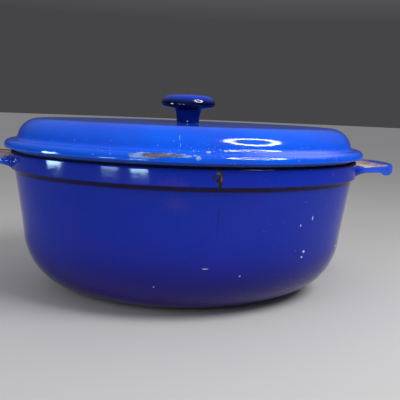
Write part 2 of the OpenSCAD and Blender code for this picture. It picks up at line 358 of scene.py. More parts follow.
def cast_handle(bm, shape, side):
    """Draws one handle out of the band's faces on the end that side (1 or -1) names."""
    middle = (HANDLE_TOP + HANDLE_BOTTOM) / 2
    turn = Matrix.Rotation(0 if side > 0 else math.pi, 3, "Z")

    def share_of(point):
        flat = turn @ point
        return math.atan2(flat.y, flat.x - shape.oval.end_x) / shape.half_turn

    def on_root(face):
        centre = face.calc_center_median()
        return (side * centre.x > shape.oval.end_x and abs(share_of(centre)) < 1
                and HANDLE_BOTTOM < centre.z < HANDLE_TOP and abs((turn @ face.normal).z) < 0.5
                and (turn @ centre).to_2d().length > shape.oval.end_x + shape.oval.end_r - 30 * MM)

    bm.normal_update()
    faces = [face for face in bm.faces if on_root(face)]
    spots = {vert: (share_of(vert.co), vert.co.z > middle) for face in faces for vert in face.verts}
    for out, top, bottom in shape.stations():
        before = {tuple(round(c, 8) for c in vert.co): spot for vert, spot in spots.items()}
        made = bmesh.ops.extrude_face_region(bm, geom=faces)["geom"]
        faces = [item for item in made if isinstance(item, bmesh.types.BMFace)]
        spots = {item: before[tuple(round(c, 8) for c in item.co)]
                 for item in made if isinstance(item, bmesh.types.BMVert)}
        for vert, (share, upper) in spots.items():
            vert.co = turn.inverted() @ shape.place(share, out, top if upper else bottom)


def mark_faces(bm, index, test):
    """Gives material number index to each face whose centre and normal pass the test."""
    for face in bm.faces:
        if test(face.calc_center_median(), face.normal):
            face.material_index = index


class CASSEROLE_OT_pot(bpy.types.Operator):
    """Build the pot casting with its band, foot ring and two handles"""
    bl_idname = "casserole.pot"
    bl_label = "Pot Casting"

    def execute(self, context):
        scene = context.scene
        sizes = scene.casserole_pot
        oval = main_oval(scene)
        bm = bmesh.new()
        oval.sweep(bm, pot_profile(sizes))
        fill_open_loops(bm)
        bmesh.ops.recalc_face_normals(bm, faces=bm.faces)
        shape = HandleShape(oval, scene.casserole_handle)
        for side in (1, -1):
            cast_handle(bm, shape, side)
        bm.normal_update()
        mark_faces(bm, 1, lambda centre, normal: centre.z > POT_HIGH.z - 0.3 * MM and normal.z > 0.6)
        mark_faces(bm, 1, lambda centre, normal: centre.z < 2 * MM and normal.z < -0.9)
        finish_piece(bm, "pot_casting", "pot",
                     [pot_enamel(scene.casserole_colours, POT_HIGH.z - sizes.band_height),
                      ground_coat(scene.casserole_colours)],
                     ("pot_body", "handle_left", "handle_right"), levels=2)
        return {"FINISHED"}


class CASSEROLE_OT_pot_lining(bpy.types.Operator):
    """Build the light enamel coat inside the pot"""
    bl_idname = "casserole.pot_lining"
    bl_label = "Pot Lining"

    def execute(self, context):
        sizes = context.scene.casserole_pot
        outer = inner_profile(sizes, 0, POT_HIGH.z - 0.5 * MM)
        inner = inner_profile(sizes, sizes.lining, POT_HIGH.z - 0.4 * MM)
        top = [((outer[-1][0] + inner[-1][0]) / 2, POT_HIGH.z - 0.1 * MM)]
        bm = bmesh.new()
        main_oval(context.scene).sweep(bm, inner + top + outer[::-1])
        fill_open_loops(bm)
        finish_piece(bm, "pot_lining_coat", "pot",
                     [cream_enamel(context.scene.casserole_colours)], ("pot_lining",), levels=2)
        return {"FINISHED"}


def lid_hollow(sizes, pot, inset):
    """Inside of the lid from the centring ring's foot up to the flat middle, moved inward by inset."""
    ring_d = wall_depth(pot, POT_HIGH.z) - pot.wall - pot.lining - sizes.locator_gap - sizes.locator - inset
    side_d = -sizes.side_in - sizes.iron - inset
    under = LID_LINING_HIGH.z - inset
    radius = sizes.shoulder - sizes.iron - inset
    rim = POT_HIGH.z
    return [(ring_d, rim - 3 * MM), (ring_d, rim), (ring_d + 0.4 * MM, rim + 2 * MM),
            (side_d - 0.4 * MM, rim + 5 * MM), (side_d, rim + 7 * MM)] + arc(
        (side_d - radius, under - radius), radius, 0, 90, 6) + [(side_d - radius - CAP_REACH, under)]


def lid_profile(sizes, pot):
    """Closed side of the lid casting, from the flat top outward, round the flange and back inside."""
    top, rim = LID_HIGH.z, POT_HIGH.z
    ledge = rim + sizes.ledge
    shoulder = (-sizes.side_in - sizes.shoulder, top - sizes.shoulder)
    blend_z = ledge + sizes.blend
    reach = sizes.shoulder + sizes.blend
    blend_turn = math.degrees(math.asin((blend_z - shoulder[1]) / reach))
    blend = (shoulder[0] + reach * math.cos(math.radians(blend_turn)), blend_z)
    edge = (LID_HIGH.x - POT_HIGH.x - 0.06 * MM - sizes.edge, ledge - sizes.edge)
    flange_z = rim + sizes.gap
    low = sizes.lower_edge
    locator_d = wall_depth(pot, rim) - pot.wall - pot.lining - sizes.locator_gap
    outside = [(shoulder[0] - CAP_REACH, top), (shoulder[0] - 8 * MM, top)]
    outside += arc(shoulder, sizes.shoulder, 90, blend_turn, 8)
    outside += arc(blend, sizes.blend, 180 + blend_turn, 270, 4)[1:]
    outside += arc(edge, sizes.edge, 90, 0, 5)
    outside += arc((edge[0] + sizes.edge - low, flange_z + low), low, 0, -90, 3)
    outside += [(0.5 * MM, flange_z), (-2.6 * MM, flange_z), (-3 * MM, flange_z - 0.5 * MM),
                (-3.1 * MM, rim + 0.3 * MM), (-3.5 * MM, rim), (locator_d + 0.5 * MM, rim),
                (locator_d, rim - 0.5 * MM), (locator_d, LID_LOW.z + 1.2 * MM),
                (locator_d - 0.6 * MM, LID_LOW.z)]
    hollow = lid_hollow(sizes, pot, 0)
    return outside + [(hollow[0][0] + 0.6 * MM, LID_LOW.z), (hollow[0][0], LID_LOW.z + 1.2 * MM)] + hollow


def open_screw_hole(bm, radius):
    """Draws the open oval loops in to a round hole and joins them through the iron."""
    for level in sorted({round(edge.verts[0].co.z, 5) for edge in bm.edges if edge.is_boundary}):
        loop = [edge for edge in bm.edges if edge.is_boundary and abs(edge.verts[0].co.z - level) < 0.02 * MM]
        for reach in (CAP_LOOP_RADIUS, radius):
            made = bmesh.ops.extrude_edge_only(bm, edges=loop)["geom"]
            loop = [item for item in made if isinstance(item, bmesh.types.BMEdge)
                    and len(item.link_faces) == 1]
            for vert in {vert for edge in loop for vert in edge.verts}:
                flat = vert.co.to_2d().normalized() * reach
                vert.co.x, vert.co.y = flat
    bmesh.ops.bridge_loops(bm, edges=[edge for edge in bm.edges if edge.is_boundary])


class CASSEROLE_OT_lid(bpy.types.Operator):
    """Build the lid casting with its flange, shoulder, centring ring and screw hole"""
    bl_idname = "casserole.lid"
    bl_label = "Lid Casting"

    def execute(self, context):
        scene = context.scene
        bm = bmesh.new()
        main_oval(scene).sweep(bm, lid_profile(scene.casserole_lid, scene.casserole_pot))
        open_screw_hole(bm, SCREW_HOLE)
        bmesh.ops.recalc_face_normals(bm, faces=bm.faces)
        # The dark ground coat goes on the seat and centring ring, and as painted shade on the flange's flat
        # underside.
        under = POT_HIGH.z + scene.casserole_lid.gap + 0.3 * MM
        mark_faces(bm, 1, lambda centre, normal: centre.z < POT_HIGH.z + 0.4 * MM
                   or (centre.z < under and normal.z < -0.95))
        finish_piece(bm, "lid_casting", "lid",
                     [lid_enamel(scene.casserole_colours), ground_coat(scene.casserole_colours)],
                     ("lid_shell",), levels=2)
        return {"FINISHED"}


class CASSEROLE_OT_lid_lining(bpy.types.Operator):
    """Build the light enamel coat under the lid"""
    bl_idname = "casserole.lid_lining"
    bl_label = "Lid Lining"

    def execute(self, context):
        scene = context.scene
        sizes, pot = scene.casserole_lid, scene.casserole_pot
        outer = lid_hollow(sizes, pot, 0)
        inner = lid_hollow(sizes, pot, pot.lining)
        foot = [((outer[0][0] + inner[0][0]) / 2, outer[0][1] - 0.4 * MM)]
        bm = bmesh.new()
        main_oval(scene).sweep(bm, outer[::-1] + foot + inner)
        open_screw_hole(bm, SCREW_HOLE)
        finish_piece(bm, "lid_lining_coat", "lid", [cream_enamel(scene.casserole_colours)],
                     ("lid_lining",), levels=2)
        return {"FINISHED"}


# ---------- knob and its fastening ----------


def knob_profile(sizes):
    """Half section of the knob from the insert's pocket, down the stem, round the cap to its top."""
    foot, radius, height = KNOB_LOW.z, KNOB_HIGH.x, KNOB_HIGH.z - KNOB_LOW.z
    edge = (radius - sizes.edge, foot + sizes.wide)
    dome = height - sizes.wide
    crown = (edge[0] ** 2 + dome ** 2 - sizes.edge ** 2) / (2 * (dome - sizes.edge))
    crown_turn = math.degrees(math.atan2(edge[1] - (KNOB_HIGH.z - crown), edge[0]))
    cove = sizes.stem_cove
    pocket = INSERT_HIGH.x
    under = foot + sizes.under
    foot_round = 0.8 * MM
    flare = sizes.stem_top - sizes.stem_foot
    points = [(0, INSERT_HIGH.z), (pocket, INSERT_HIGH.z), (pocket, foot + 0.3 * MM),
              (pocket + 0.3 * MM, foot), (sizes.stem_foot - foot_round, foot),
              (sizes.stem_foot - 0.2 * MM, foot + 0.2 * MM)]
    points += [(sizes.stem_foot + flare * share ** 1.6,
                foot + foot_round + (sizes.under - cove - foot_round) * share)
               for share in (0, 0.25, 0.5, 0.75, 1)]
    points += arc((sizes.stem_top + cove, under - cove + 0.3 * MM), cove, 172, 105, 5)[1:]
    points += [(radius - 1.6 * MM, edge[1] - 2.0 * MM), (radius - 0.7 * MM, edge[1] - 1.5 * MM),
               (radius - 0.15 * MM, edge[1] - 0.8 * MM)]
    points += arc(edge, sizes.edge, 0, crown_turn, 9)
    return points + arc((0, KNOB_HIGH.z - crown), crown, crown_turn, 90, 8)[1:]


class CASSEROLE_OT_knob(bpy.types.Operator):
    """Build the knob and the brass insert moulded into it"""
    bl_idname = "casserole.knob"
    bl_label = "Knob And Insert"

    def execute(self, context):
        scene = context.scene
        bm = bmesh.new()
        turned(bm, knob_profile(scene.casserole_knob), steps=128)
        finish_piece(bm, "knob_turning", "lid",
                     [knob_resin(scene.casserole_colours)], ("knob",))
        self.insert(scene)
        return {"FINISHED"}

    def insert(self, scene):
        """Lathe-turned brass insert with two grip grooves and a blind bore."""
        low, high, radius = INSERT_LOW.z, INSERT_HIGH.z, INSERT_HIGH.x
        bore = SHANK_RADIUS
        groove = 0.5 * MM
        outside = [(0, high), (radius - 0.4 * MM, high), (radius, high - 0.4 * MM)]
        for middle in (0.68, 0.34):
            z = low + (high - low) * middle
            outside += [(radius, z + 1.0 * MM), (radius - groove, z + 0.6 * MM),
                        (radius - groove, z - 0.6 * MM), (radius, z - 1.0 * MM)]
        outside += [(radius, low + 0.3 * MM), (radius - 0.3 * MM, low), (bore + 0.3 * MM, low),
                    (bore, low + 0.3 * MM), (bore, high - 2 * MM), (0, high - 1.6 * MM)]
        bm = bmesh.new()
        turned(bm, outside, steps=64)
        finish_piece(bm, "knob_insert_brass", "lid", [brass(scene.casserole_colours)],
                     ("knob_insert",))


def cut_slot(bm, half_width, depth, reach, level):
    """Sinks a straight slot into the screw head's outer face."""
    planes = [((0, side * half_width, 0), (0, 1, 0)) for side in (1, -1)]
    planes += [((side * reach, 0, 0), (1, 0, 0)) for side in (1, -1)]
    for spot, across in planes:
        bmesh.ops.bisect_plane(bm, geom=bm.verts[:] + bm.edges[:] + bm.faces[:], dist=0.001 * MM,
                               plane_co=spot, plane_no=across)
    bm.normal_update()
    floor = [face for face in bm.faces if face.normal.z < -0.5
             and abs(face.calc_center_median().y) < half_width
             and abs(face.calc_center_median().x) < reach and face.calc_center_median().z < level]
    made = bmesh.ops.extrude_face_region(bm, geom=floor)["geom"]
    sunk = [item for item in made if isinstance(item, bmesh.types.BMVert)]
    for vert in sunk:
        vert.co.z = level - 0.6 * MM + depth


class CASSEROLE_OT_fittings(bpy.types.Operator):
    """Build the slotted screw and the washer that hold the knob"""
    bl_idname = "casserole.fittings"
    bl_label = "Screw And Washer"

    def execute(self, context):
        scene = context.scene
        steel_finish = steel(scene.casserole_colours)
        self.screw(scene, steel_finish)
        self.washer(steel_finish)
        return {"FINISHED"}

    def screw(self, scene, finish):
        """Pan-head screw with a slot and a cut thread."""
        base, bottom, radius = WASHER_LOW.z, SCREW_LOW.z, SCREW_HIGH.x
        pitch = scene.casserole_knob.pitch
        core = SHANK_RADIUS - 0.55 * MM
        head = [(0, bottom)] + arc((radius - 2.2 * MM, bottom + 2.2 * MM), 2.2 * MM, -90, 0, 6)
        head += [(radius, base - 0.2 * MM), (radius - 0.2 * MM, base), (core + 0.4 * MM, base),
                 (core, base + 0.4 * MM), (core, SCREW_HIGH.z - 0.6 * MM), (core - 0.6 * MM, SCREW_HIGH.z),
                 (0, SCREW_HIGH.z)]
        bm = bmesh.new()
        turned(bm, head, steps=64)
        bmesh.ops.recalc_face_normals(bm, faces=bm.faces)
        cut_slot(bm, 0.7 * MM, 1.5 * MM, radius - 1.8 * MM, bottom + 0.6 * MM)
        self.thread(bm, core, pitch, base + 3 * MM, SCREW_HIGH.z - 1.2 * MM)
        finish_piece(bm, "knob_screw_steel", "lid", [finish], ("knob_screw",))

    def thread(self, bm, core, pitch, start, end):
        """Winds a closed triangular ridge round the screw's core."""
        turns = int((end - start) / pitch)
        deep = core - 0.3 * MM
        ridge = [bm.verts.new((r, 0, start + z)) for r, z in
                 ((deep, 0.02 * MM), (SHANK_RADIUS - 0.05 * MM, pitch / 2), (deep, pitch - 0.02 * MM))]
        section = bm.faces.new(ridge)
        steps = 24 * turns
        bmesh.ops.spin(bm, geom=[section], cent=(0, 0, 0), axis=(0, 0, 1),
                       dvec=(0, 0, (turns - 1) * pitch / steps), angle=math.tau * (turns - 1), steps=steps,
                       use_merge=False, use_normal_flip=False, use_duplicate=True)

    def washer(self, finish):
        """Flat washer with eased edges."""
        low, high, radius = WASHER_LOW.z, WASHER_HIGH.z, WASHER_HIGH.x
        hole, ease = SHANK_RADIUS + 0.3 * MM, 0.25 * MM
        ring = [(hole, low + ease), (hole + ease, low), (radius - ease, low), (radius, low + ease),
                (radius, high - ease), (radius - ease, high), (hole + ease, high), (hole, high - ease),
                (hole, low + ease)]
        bm = bmesh.new()
        turned(bm, ring, steps=96)
        finish_piece(bm, "screw_washer_steel", "lid", [finish], ("screw_washer",))


# ---------- finishes ----------


class Finish:
    """Short calls for building one material's nodes."""

    def __init__(self, name, **shader):
        self.material = bpy.data.materials.new(name)
        self.material.use_nodes = True
        self.tree = self.material.node_tree
        self.shader = self.tree.nodes["Principled BSDF"]
        for socket, value in shader.items():
            self.shader.inputs[socket.replace("_", " ")].default_value = value
        self.place = self.add("ShaderNodeTexCoord").outputs["Object"]

    def add(self, kind, inputs=None, **settings):
        """Adds a node, sets it up, and links or fills its inputs."""
        node = self.tree.nodes.new(kind)
        for key, value in settings.items():
            setattr(node, key, value)
        for socket, value in (inputs or {}).items():
            self.feed(node.inputs[socket], value)
        return node

    def feed(self, socket, value):
        """Links another node's output to a socket, or sets the socket's own value."""
        if isinstance(value, bpy.types.NodeSocket):
            self.tree.links.new(value, socket)
        else:
            socket.default_value = value

    def math(self, operation, first, second=0.0, third=0.0):
        """The result of a Math node."""
        node = self.add("ShaderNodeMath", {0: first, 1: second, 2: third}, operation=operation)
        return node.outputs[0]

    def vector_math(self, operation, first, second=(0, 0, 0)):
        """The vector result of a Vector Math node."""
        node = self.add("ShaderNodeVectorMath", {0: first, 1: second}, operation=operation)
        return node.outputs["Value" if operation == "LENGTH" else "Vector"]

    def noise(self, scale, detail=3.0, roughness=0.55, stretch=(1, 1, 1)):
        """Noise on Object coordinates, 0 to 1."""
        where = self.vector_math("MULTIPLY", self.place, stretch)
        node = self.add("ShaderNodeTexNoise", {"Vector": where, "Scale": scale, "Detail": detail,
                                               "Roughness": roughness})
        return node.outputs["Fac"]

    def window(self, value, low, high, to_low=0.0, to_high=1.0):
        """Maps low..high smoothly to to_low..to_high."""
        node = self.add("ShaderNodeMapRange", {"Value": value, "From Min": low, "From Max": high,
                                               "To Min": to_low, "To Max": to_high},
                        interpolation_type="SMOOTHSTEP")
        return node.outputs["Result"]

    def mix(self, factor, first, second):
        """Mixes two colours."""
        node = self.add("ShaderNodeMix", data_type="RGBA")
        self.feed(node.inputs["Factor"], factor)
        for socket, value in (("A", first), ("B", second)):
            colour_socket = [s for s in node.inputs if s.name == socket and s.type == "RGBA"][0]
            self.feed(colour_socket, value if isinstance(value, bpy.types.NodeSocket) else (*value, 1.0))
        return [s for s in node.outputs if s.type == "RGBA"][0]

    def axis(self, name):
        """One of the Object coordinates X, Y or Z."""
        return self.add("ShaderNodeSeparateXYZ", {0: self.place}).outputs[name]

    def bump(self, height, strength, distance, normal=None):
        """A Bump node's normal."""
        inputs = {"Height": height, "Strength": strength, "Distance": distance}
        if normal is not None:
            inputs["Normal"] = normal
        return self.add("ShaderNodeBump", inputs).outputs["Normal"]

    def paint(self, **sockets):
        """Feeds the shader's sockets and returns the material."""
        for socket, value in sockets.items():
            self.feed(self.shader.inputs[socket.replace("_", " ")], value)
        return self.material


def closeness(finish, marks):
    """How deep a point lies in the nearest mark: above 0 inside it, 1 at its middle.

    Each mark is its middle, its three radii and how ragged its edge is, in millimetres.
    """
    ragged = finish.add("ShaderNodeTexNoise", {"Vector": finish.place, "Scale": 420.0, "Detail": 4.0,
                                               "Roughness": 0.7}).outputs["Color"]
    wander = finish.vector_math("SUBTRACT", ragged, (0.5, 0.5, 0.5))
    closest = None
    for place, radii, wobble in marks:
        shifted = finish.vector_math("MULTIPLY", wander, [wobble * MM] * 3)
        offset = finish.vector_math("SUBTRACT", finish.vector_math("ADD", finish.place, shifted),
                                    [c * MM for c in place])
        spread = finish.vector_math("DIVIDE", offset, [r * MM for r in radii])
        close = finish.math("SUBTRACT", 1.0, finish.vector_math("LENGTH", spread))
        closest = close if closest is None else finish.math("MAXIMUM", closest, close)
    return closest


def specks(finish, scale, size, share):
    """Small round specks in a random share of cells."""
    cells = finish.add("ShaderNodeTexVoronoi", {"Vector": finish.place, "Scale": scale, "Randomness": 1.0})
    near = finish.window(cells.outputs["Distance"], size, size * 0.6)
    pick = finish.add("ShaderNodeSeparateColor", {"Color": cells.outputs["Color"]}).outputs["Red"]
    return finish.math("MULTIPLY", near, finish.math("GREATER_THAN", pick, 1.0 - share))


# Marks on the enamel, mostly wear; the flange's sheen mark is a painted reflection. Each is its middle, its
# three radii and how ragged its edge is, in millimetres.
SMUDGES = [((-22, -127, 114), (16, 9, 7), 22), ((-19, -121, 98), (13, 9, 9), 22)]
POT_NICKS = [
    ((83, -98, 79), (0.8, 4, 1.2), 0.5), ((89, -92, 56), (1.4, 4, 1.3), 0.6),
    ((87.5, -92, 51.5), (1.2, 4, 0.9), 0.8), ((94.5, -92.5, 84), (0.6, 4, 2.2), 0.6),
    ((131, -52, 51), (1.2, 3, 1.3), 0.5), ((5, -116, 48), (3.0, 4, 0.45), 0.6),
    ((33, -111, 41), (0.9, 4, 0.8), 0.5), ((-33, -107, 31), (0.7, 4, 0.7), 0.5),
]
DARK_SCRATCHES = [((-64, -107, 70), (1.0, 4, 1.0), 0.5), ((12.5, -121, 86), (0.5, 5, 13), 1.2)]
BAND_CRACK = [
    ((10.5, -127.5, 125), (3.2, 5, 1.6), 1.2), ((7.0, -128, 119.3), (1.6, 3, 1.4), 1.4),
    ((9.4, -128, 117.0), (1.5, 3, 2.2), 1.4), ((12.0, -128, 117), (2.1, 6, 9.0), 2.4),
    ((11.2, -126, 111.5), (1.0, 8, 4.2), 1.0),
]
CRACK_RUST = [((10.4, -128.2, 122.0), (2.2, 3, 1.2), 1.8), ((12.6, -128, 118.5), (0.9, 3, 3.0), 1.6)]
FLANGE_CHIP = [
    ((-43, -128, 133.4), (12, 14, 2.3), 5.0), ((-24, -131, 134.4), (15, 14, 1.3), 4.6),
    ((-5.0, -133, 132.8), (2.0, 5, 1.9), 4.5), ((-7.5, -133, 134.6), (1.2, 5, 0.8), 3.5),
]
CHIP_IRON = [((-34, -130, 134.0), (11, 14, 1.5), 3.8), ((-21, -131, 134.5), (6, 14, 0.7), 3.0)]
LID_STREAKS = [((-17.5, -117, 146), (0.45, 4, 2.8), 1.2), ((-17.2, -120, 141), (0.45, 4, 2.2), 1.2)]
LID_NICKS = [((-46, -124, 138), (0.8, 4, 0.8), 0.8), ((3, -124, 137), (2.2, 4, 0.6), 1.8),
             ((16, -122, 138), (2.0, 4, 0.6), 1.8)]
# Painted reflection: a pale lavender sheen along the right of the flange's ledge.
FLANGE_SHEEN = [((78, -104, 136.2), (70, 44, 3.4), 3)]
FLANGE_DUST = [((18, -124, 138), (44, 16, 5.5), 9)]
# A pale spot at the front of the knob's stem foot.
KNOB_PALE_SPOT = [((-1.5, -12, 155.8), (1.0, 3, 0.8), 0.3)]


class Enamel:
    """Glossy cobalt enamel that gathers wear: each call adds one kind to its colour, gloss and relief."""

    def __init__(self, name, colours, base, specular):
        self.colours = colours
        self.finish = finish = Finish(name, Specular_IOR_Level=specular)
        drift = finish.window(finish.noise(22.0, 3.0), 0.35, 0.75, 0.0, 0.30)
        self.tone = finish.mix(drift, base, colours.violet)
        cloud = finish.window(finish.noise(7.0, 2.0), 0.4, 0.7, 0.0, 0.18)
        self.tone = finish.mix(cloud, self.tone, [c * 0.55 for c in base])
        fine = finish.window(finish.noise(650.0, 2.0), 0.60, 0.70, 0.0, 0.10)
        self.tone = finish.mix(fine, self.tone, (0.04, 0.14, 0.85))
        self.rough = finish.window(finish.noise(45.0, 4.0), 0.3, 0.7, 0.04, 0.10)
        self.relief = finish.bump(finish.noise(95.0, 2.0, 0.4), 0.09, 0.5 * MM)
        self.relief = finish.bump(finish.noise(1500.0, 2.0), 0.05, 0.15 * MM, self.relief)

    def tint(self, amount, tone):
        """Blends a colour in without changing the gloss."""
        self.tone = self.finish.mix(amount, self.tone, tone)

    def dust(self, scale, size, share, zone, strength):
        """Pale specks inside a zone."""
        amount = self.finish.math("MULTIPLY", specks(self.finish, scale, size, share), zone)
        self.tint(self.finish.math("MULTIPLY", amount, strength), (0.36, 0.55, 0.95))

    def sink(self, amount, depth):
        """Lowers the surface where amount is 1."""
        down = self.finish.math("MULTIPLY", amount, -1.0)
        self.relief = self.finish.bump(down, 0.9, depth * MM, self.relief)

    def dull(self, amount, roughness):
        """Makes the surface matte where amount is 1."""
        self.rough = self.finish.math("MAXIMUM", self.rough, self.finish.math("MULTIPLY", amount, roughness))

    def chipped(self, pale, bare):
        """Flaked places: a pale ground coat, with brown iron showing at the heart."""
        finish, colours = self.finish, self.colours
        grain = finish.noise(700.0, 4.0, 0.75)
        flaked = finish.window(closeness(finish, pale), 0.0, 0.06)
        streak = finish.noise(330.0, 4.0, 0.7, (0.25, 1.0, 1.0))
        mottle = finish.mix(finish.window(streak, 0.42, 0.60), colours.break_edge, (0.07, 0.17, 0.62))
        self.tint(flaked, mottle)
        heart = finish.window(closeness(finish, bare), 0.0, 0.10)
        iron = finish.mix(finish.window(streak, 0.40, 0.60), (0.15, 0.13, 0.17), colours.bare_iron)
        self.tint(heart, iron)
        self.sink(finish.math("ADD", flaked, finish.math("MULTIPLY", grain, heart)), 0.45)
        self.dull(flaked, 0.5)

    def nicked(self, marks, tone, strength=1.0):
        """Small marks of one colour."""
        amount = self.finish.window(closeness(self.finish, marks), 0.0, 0.35, 0.0, strength)
        self.tint(amount, tone)
        self.sink(amount, 0.3)
        self.dull(amount, 0.5)

    def done(self):
        """The finished material."""
        return self.finish.paint(Base_Color=self.tone, Roughness=self.rough, Normal=self.relief)


def pot_enamel(colours, step_z):
    """Enamel of the pot: a base painted darker and more violet as shade and reflection, painted shade under
    the band and under the lid, handle ends painted a brighter blue as light, a cracked band, nicks low on the
    right and worn handle tops.

    step_z is the height of the band's lower edge.
    """
    enamel = Enamel("cobalt_pot_enamel", colours, colours.cobalt, 0.20)
    finish = enamel.finish
    # Painted shade and painted reflection: the enamel turns darker and more violet towards the base.
    height = finish.math("ADD", finish.axis("Z"), finish.math("MULTIPLY", finish.noise(14.0), 22 * MM))
    enamel.tint(finish.window(height, 92 * MM, 14 * MM, 0.0, 0.92), colours.base_shade_and_reflection)
    enamel.tint(finish.window(closeness(finish, SMUDGES), 0.0, 0.7, 0.0, 0.38), (0.055, 0.035, 0.32))
    z = finish.axis("Z")
    # Painted shade: the wall just under the band's lower edge and the band's top just under the lid's flange
    # are darkened, standing in for the shade that the band and the flange cast there.
    under_band = finish.math("MULTIPLY", finish.window(z, step_z - 4.4 * MM, step_z - 2.4 * MM),
                             finish.window(z, step_z + 1.2 * MM, step_z + 0.5 * MM))
    under_lid = finish.window(z, POT_HIGH.z - 2.2 * MM, POT_HIGH.z - 1.0 * MM)
    painted_shade = finish.math("MULTIPLY", finish.math("MAXIMUM", under_band, under_lid),
                        finish.window(finish.noise(60.0, 4.0), 0.2, 0.5, 0.72, 0.95))
    enamel.tint(painted_shade, (0.005, 0.0005, 0.034))
    # Painted light: the enamel turns a brighter blue towards the handles' ends, standing in for the light on
    # the handles' flanks.
    far = finish.window(finish.math("ABSOLUTE", finish.axis("X")), 150 * MM, 162 * MM, 0.0, 0.7)
    enamel.tint(far, (0.03, 0.13, 0.85))
    right = finish.window(finish.axis("X"), 30 * MM, 100 * MM)
    enamel.dust(210.0, 0.10, 0.16, right, 0.55)
    enamel.dust(120.0, 0.05, 0.10, 1.0, 0.4)
    enamel.nicked(POT_NICKS, (0.66, 0.70, 0.86))
    enamel.nicked(DARK_SCRATCHES, (0.006, 0.008, 0.03), 0.7)
    enamel.nicked(BAND_CRACK, (0.010, 0.008, 0.010))
    enamel.nicked(CRACK_RUST, (0.12, 0.06, 0.05))
    worn_handles(enamel)
    return enamel.done()


def worn_handles(enamel):
    """Rubs the enamel off the tops of the handles, down to beige ground coat and brown iron."""
    finish, colours = enamel.finish, enamel.colours
    out = finish.math("ABSOLUTE", finish.axis("X"))
    climb = 1 / 24
    slope = finish.math("MULTIPLY_ADD", out, climb, HANDLE_TOP - 6.2 * MM)
    top = finish.window(finish.math("SUBTRACT", finish.axis("Z"), slope), -1.0 * MM, -0.4 * MM)
    ragged = finish.math("MULTIPLY", finish.math("SUBTRACT", finish.noise(120.0, 5.0, 0.7), 0.5), 26 * MM)
    edge = finish.math("ADD", out, ragged)
    along = finish.math("MULTIPLY", finish.window(edge, 157 * MM, 159 * MM),
                        finish.window(edge, 184 * MM, 181 * MM))
    sideways = finish.math("ADD", finish.math("ABSOLUTE", finish.axis("Y")), ragged)
    across = finish.window(sideways, 41 * MM, 39 * MM)
    amount = finish.math("MULTIPLY", finish.math("MULTIPLY", top, along), across)
    blotch = finish.noise(75.0, 5.0, 0.65)
    tone = finish.mix(finish.window(blotch, 0.40, 0.52), (0.52, 0.40, 0.41), colours.worn)
    tone = finish.mix(finish.window(blotch, 0.54, 0.62), tone, (0.10, 0.065, 0.05))
    tone = finish.mix(finish.window(out, 172 * MM, 164 * MM, 0.0, 0.6), tone, (0.66, 0.54, 0.55))
    tone = finish.mix(finish.window(finish.axis("Y"), 20 * MM, 28 * MM), tone, (0.08, 0.04, 0.04))
    enamel.tint(amount, tone)
    enamel.sink(amount, 0.3)
    enamel.dull(amount, 0.55)


def lid_enamel(colours):
    """Enamel of the lid: the pot's enamel painted brighter and greener as light, a painted sheen along the
    right of the flange, a long ragged chip on the front of the flange and specks above it.
    """
    # Painted light: the lid's base colour is a lit copy of the pot's enamel.
    enamel = Enamel("cobalt_lid_enamel", colours, colours.lid_lit_cobalt, 0.25)
    finish = enamel.finish
    low = finish.window(finish.axis("Z"), 150 * MM, 139 * MM)
    front = finish.window(finish.axis("Y"), -40 * MM, -100 * MM)
    # Painted reflection: a pale sheen tinted along the right of the flange.
    enamel.tint(finish.window(closeness(finish, FLANGE_SHEEN), 0.0, 0.6, 0.0, 0.42), (0.30, 0.36, 0.95))
    enamel.dust(330.0, 0.18, 0.30, finish.math("MULTIPLY", low, front), 0.55)
    enamel.dust(560.0, 0.34, 0.50, finish.window(closeness(finish, FLANGE_DUST), 0.0, 0.5), 0.42)
    enamel.dust(150.0, 0.06, 0.12, 1.0, 0.4)
    enamel.chipped(FLANGE_CHIP, CHIP_IRON)
    enamel.nicked(LID_STREAKS, (0.16, 0.34, 0.88), 0.7)
    enamel.nicked(LID_NICKS, (0.45, 0.60, 0.92), 0.85)
    return enamel.done()


def ground_coat(colours):
    """Matte dark coat of the rim, seat and foot ring, rubbed to bare metal in places; on the lid flange's
    underside it is painted shade.
    """
    finish = Finish("ground_coat", Specular_IOR_Level=0.35)
    rub = finish.window(finish.noise(140.0, 5.0, 0.65), 0.52, 0.66)
    tone = finish.mix(finish.math("MULTIPLY", rub, 0.7), colours.ground_coat, (0.07, 0.07, 0.08))
    rough = finish.window(finish.noise(300.0, 3.0), 0.3, 0.7, 0.45, 0.7)
    grain = finish.bump(finish.noise(800.0, 4.0), 0.35, 0.2 * MM)
    return finish.paint(Base_Color=tone, Roughness=rough, Normal=grain)


def cream_enamel(colours):
    """Satin cream enamel with cooking stains that gather on the floor."""
    finish = Finish("cream_lining_enamel", Specular_IOR_Level=0.5, Coat_Weight=0.2, Coat_Roughness=0.15)
    low = finish.window(finish.axis("Z"), 40 * MM, 6 * MM)
    blotch = finish.window(finish.noise(28.0, 6.0, 0.62), 0.45, 0.72)
    stain = finish.math("MULTIPLY", finish.math("MULTIPLY_ADD", low, 0.42, 0.08), blotch)
    tone = finish.mix(stain, colours.cream, colours.stain)
    spots = finish.math("MULTIPLY", specks(finish, 260.0, 0.12, 0.12), 0.6)
    tone = finish.mix(spots, tone, (0.12, 0.09, 0.07))
    rough = finish.window(finish.noise(70.0, 4.0), 0.3, 0.7, 0.22, 0.38)
    peel = finish.bump(finish.noise(160.0, 2.0, 0.4), 0.25, 0.5 * MM)
    return finish.paint(Base_Color=tone, Roughness=rough, Normal=peel)


